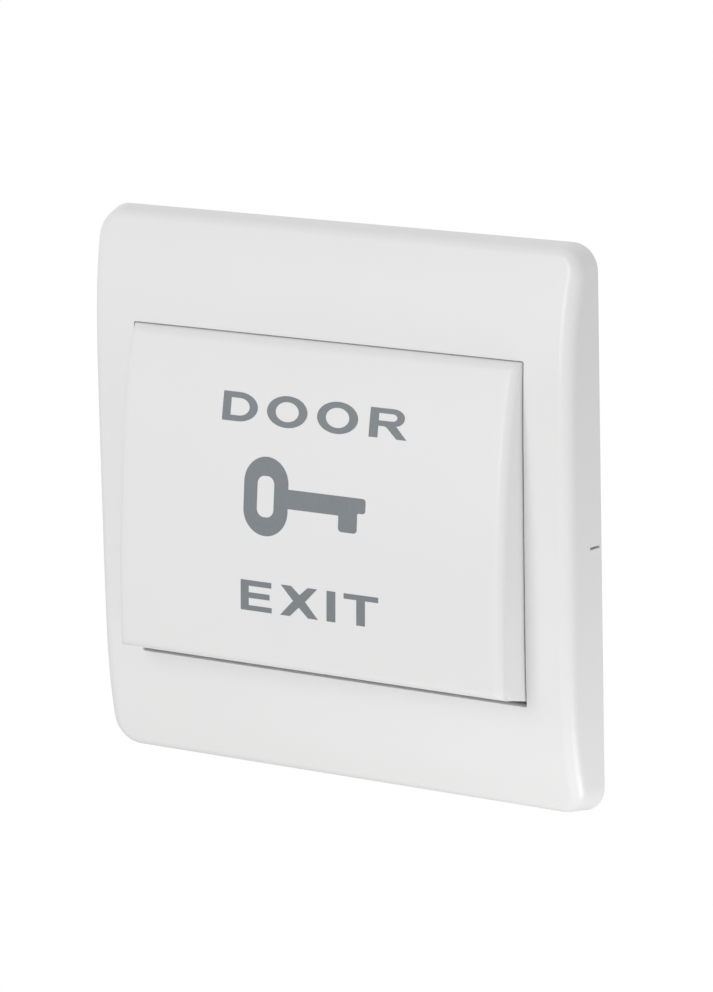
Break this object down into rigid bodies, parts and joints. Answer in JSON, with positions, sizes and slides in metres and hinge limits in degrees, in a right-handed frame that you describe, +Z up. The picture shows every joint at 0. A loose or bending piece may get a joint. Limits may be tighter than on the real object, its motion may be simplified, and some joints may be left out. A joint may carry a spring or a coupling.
{
  "type": "door exit button",
  "caption": "Flush wall push button that releases an electric door lock: square frame, hinged rocker cap, momentary switch behind.",
  "frame": {"origin": "middle of the two wall screw slots, on the wall plane", "axes": "+X right, +Z up, -Y out of the wall towards the user"},
  "size_m": [0.086, 0.024, 0.086],
  "materials": {
    "frame_plastic": "moulded white ABS, satin gloss",
    "button_plastic": "moulded white ABS, satin gloss, grey print",
    "plate_plastic": "moulded white ABS, matte",
    "housing_plastic": "moulded black nylon, fine grain",
    "plunger_plastic": "moulded acetal, natural",
    "brass": "stamped brass strip",
    "silver": "silver contact rivet",
    "zinc_steel": "zinc plated steel",
    "spring_steel": "drawn spring wire"
  },
  "bodies": {
    "base": {"face_frame": "frame_plastic", "mounting_plate": "plate_plastic", "switch_lid": "housing_plastic", "switch_housing": "housing_plastic", "contact_strip_left": "brass", "contact_strip_right": "brass", "fixed_tip_left": "silver", "fixed_tip_right": "silver", "clamp_plate_left": "zinc_steel", "clamp_plate_right": "zinc_steel", "terminal_screw_left": "zinc_steel", "terminal_screw_right": "zinc_steel", "housing_screw_upper": "zinc_steel", "housing_screw_lower": "zinc_steel", "plunger_spring": "spring_steel", "button_spring_left": "spring_steel", "button_spring_right": "spring_steel"},
    "button": {"exit_button": "button_plastic"},
    "plunger": {"plunger": "plunger_plastic", "bridge_contact": "brass", "bridge_tip_left": "silver", "bridge_tip_right": "silver", "contact_spring": "spring_steel"}
  },
  "joints": [
    {"name": "button_hinge", "type": "hinge", "parent": "base", "child": "button", "pos_m": [0, -0.0033, 0.0225], "axis": [1, 0, 0], "range_deg": [0, 4], "stiffness_Nm_per_rad": 1, "springref_deg": -3.44, "deforming": ["button_spring_left", "button_spring_right"]},
    {"name": "plunger_slide", "type": "slide", "parent": "base", "child": "plunger", "axis": [0, 1, 0], "range_m": [0, 0.00178], "deforming": ["plunger_spring"]}
  ],
  "couplings": [
    {"joint": "plunger_slide", "follows": "button_hinge", "m_per_rad": 0.0255}
  ]
}
